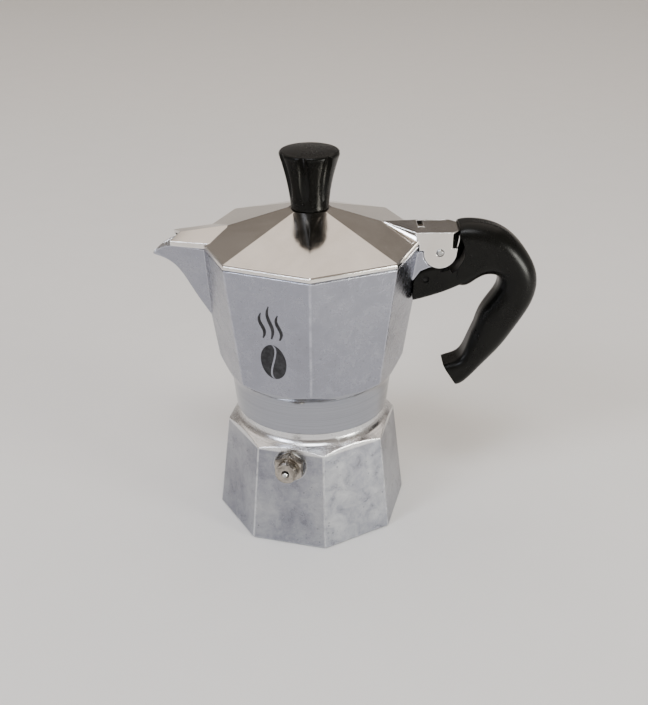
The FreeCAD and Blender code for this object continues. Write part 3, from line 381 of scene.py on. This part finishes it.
def on_face(point):
    """A flat point laid on the collector's front left face."""
    outward = Vector((math.cos(FACE_TURN), math.sin(FACE_TURN), 0.0))
    across = Vector((-math.sin(FACE_TURN), math.cos(FACE_TURN), 0.0))
    level = PRINT_HEIGHT + point.y * math.cos(FACE_TILT)
    outside = outward * 0.06 + across * point.x + Vector((0.0, 0.0, level))
    _, place, normal, _ = nodes["collector"].ray_cast(outside, -outward)
    return place + normal * PRINT_LIFT


def ribbon(points, widths):
    """A flat strip along points, as vertex pairs and faces."""
    verts, faces = [], []
    for i, point in enumerate(points):
        ahead = points[min(i + 1, len(points) - 1)] - points[max(i - 1, 0)]
        side = Vector((-ahead.y, ahead.x)).normalized() * widths[i] / 2
        verts += [point + side, point - side]
    for i in range(len(points) - 1):
        faces.append((2 * i, 2 * i + 1, 2 * i + 3, 2 * i + 2))
    return verts, faces


def bean_half(side):
    """One half of a coffee bean: an oval split by a wavy line."""
    steps = 28
    verts = []
    for i in range(steps + 1):
        t = math.pi * i / steps
        verts.append(Vector((side * BEAN_WIDTH * math.sin(t), BEAN_LENGTH * math.cos(t))))
    for i in range(1, steps):
        t = math.pi * (1.0 - i / steps)
        wave = 0.22 * BEAN_WIDTH * math.sin(2.0 * t)
        verts.append(Vector((wave + side * BEAN_GAP, 0.97 * BEAN_LENGTH * math.cos(t))))
    return verts, [tuple(range(len(verts)))]


def wisp(shift, length):
    """A wavy strip of steam that narrows towards its ends."""
    line, widths = [], []
    for k in range(25):
        t = k / 24
        sway = WISP_SWAY * math.sin(t * 2.0 * math.pi)
        line.append(Vector((shift + sway, WISP_START + length * t)))
        widths.append(WISP_WIDTH * math.sin(math.pi * (0.12 + 0.8 * t)))
    return ribbon(line, widths)


def print_ink():
    """Worn black printing ink."""
    ink = Shader("print_ink", IOR=1.45, Specular_IOR_Level=0.25)
    worn = ink.noise(500.0, 5.0, 0.7)
    tones = [(0.40, (0.012, 0.012, 0.014)), (0.72, (0.045, 0.045, 0.05))]
    ink.feed("Base Color", ink.ramp(worn, tones))
    ink.feed("Roughness", ink.spread(worn, 0.35, 0.6))
    return ink.material


def add_mesh(name, verts, faces, material):
    mesh = bpy.data.meshes.new(name)
    mesh.from_pydata(verts, [], faces)
    mesh.materials.append(material)
    item = bpy.data.objects.new(name, mesh)
    bpy.context.scene.collection.objects.link(item)
    return item


def printed_motif():
    """A coffee bean under three wisps of steam, printed on the collector."""
    shapes = [bean_half(-1.0), bean_half(1.0)]
    shapes += [wisp(shift, length) for shift, length in WISPS]
    verts, faces = [], []
    for points, parts in shapes:
        base = len(verts)
        verts += [on_face(point) for point in points]
        faces += [tuple(base + k for k in part) for part in parts]
    item = add_mesh("bean_print", verts, faces, print_ink())
    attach(item, "collector")


printed_motif()


# ---------------------------------------------------------------- stage, light and camera

FLOOR_COLOUR = (0.80, 0.79, 0.775)


def floor_material():
    """Plain pale matt paint."""
    s = Shader("floor", Roughness=0.75)
    cloud = s.noise(40.0, 3.0, 0.5)
    s.feed("Base Color", s.ramp(cloud, [(0.3, scaled(FLOOR_COLOUR, 0.985)), (0.7, FLOOR_COLOUR)]))
    return s.material


def sweep(radius, height, curve):
    """A round pale floor that curves up into a low wall all round."""
    line = [(0.35 * radius, 0.0)]
    steps = 16
    around = 96
    for i in range(steps + 1):
        angle = math.pi / 2 * i / steps
        line.append((radius - curve + curve * math.sin(angle), curve - curve * math.cos(angle)))
    line.append((radius, height))
    points = [(0.0, 0.0, 0.0)]
    for reach, level in line:
        for k in range(around):
            angle = 2 * math.pi * k / around
            points.append((reach * math.cos(angle), reach * math.sin(angle), level))
    faces = [(0, 1 + k, 1 + (k + 1) % around) for k in range(around)]
    for i in range(len(line) - 1):
        for k in range(around):
            near, far = 1 + i * around, 1 + (i + 1) * around
            after = (k + 1) % around
            faces.append((near + k, far + k, far + after, near + after))
    item = add_mesh("floor", points, faces, floor_material())
    item.data.shade_smooth()


def lamp(name, place, target, size, power, colour):
    """A soft rectangular lamp aimed at a target."""
    light = bpy.data.lights.new(name, "AREA")
    light.shape = "RECTANGLE"
    light.size, light.size_y = size
    light.energy = power
    light.color = colour
    item = bpy.data.objects.new(name, light)
    item.location = place
    item.rotation_euler = (Vector(target) - Vector(place)).to_track_quat("-Z", "Y").to_euler()
    bpy.context.scene.collection.objects.link(item)


def sky():
    """Soft surroundings: dim and cool low down, brighter and warm overhead."""
    world = bpy.data.worlds.new("studio")
    world.use_nodes = True
    tree = world.node_tree
    background = tree.nodes["Background"]
    background.inputs["Strength"].default_value = 0.6
    direction = tree.nodes.new("ShaderNodeTexCoord")
    split = tree.nodes.new("ShaderNodeSeparateXYZ")
    fade = tree.nodes.new("ShaderNodeValToRGB")
    low, high = fade.color_ramp.elements
    low.position, low.color = 0.15, (0.10, 0.10, 0.115, 1.0)
    high.position, high.color = 0.55, (0.62, 0.55, 0.48, 1.0)
    tree.links.new(direction.outputs["Generated"], split.inputs["Vector"])
    tree.links.new(split.outputs["Z"], fade.inputs["Fac"])
    tree.links.new(fade.outputs["Color"], background.inputs["Color"])
    bpy.context.scene.world = world


def camera(place, target, lens, roll):
    """The view, aimed at a target, with a slight roll."""
    data = bpy.data.cameras.new("camera")
    data.sensor_fit = "VERTICAL"
    data.sensor_height = 36.0
    data.lens = lens
    item = bpy.data.objects.new("camera", data)
    bpy.context.scene.collection.objects.link(item)
    item.location = place
    aim = (Vector(target) - item.location).to_track_quat("-Z", "Y").to_matrix()
    item.rotation_euler = (aim @ Matrix.Rotation(roll, 3, "Z")).to_euler()
    bpy.context.scene.camera = item


sweep(radius=2.4, height=0.7, curve=0.5)
lamp("key", (-0.85, -0.75, 0.95), (0, 0, 0.08), (0.40, 0.40), 8.5, (0.84, 0.89, 1.0))
lamp("right_strip", (0.80, -0.55, 0.16), (0, 0, 0.03), (0.30, 0.22), 8.0, (1.0, 1.0, 0.92))
lamp("front_top", (0.0, -0.75, 1.45), (0, 0, 0.06), (0.7, 0.4), 11.0, (0.95, 0.97, 1.0))
lamp("overhead", (0.0, 0.7, 1.9), (0, 0, 0.1), (3.4, 2.2), 24.0, (1.0, 0.90, 0.81))
sky()
camera((0.0027, -0.3840, 0.2713), (0.0055, 0.0, 0.07428), lens=50.3, roll=math.radians(-0.23))
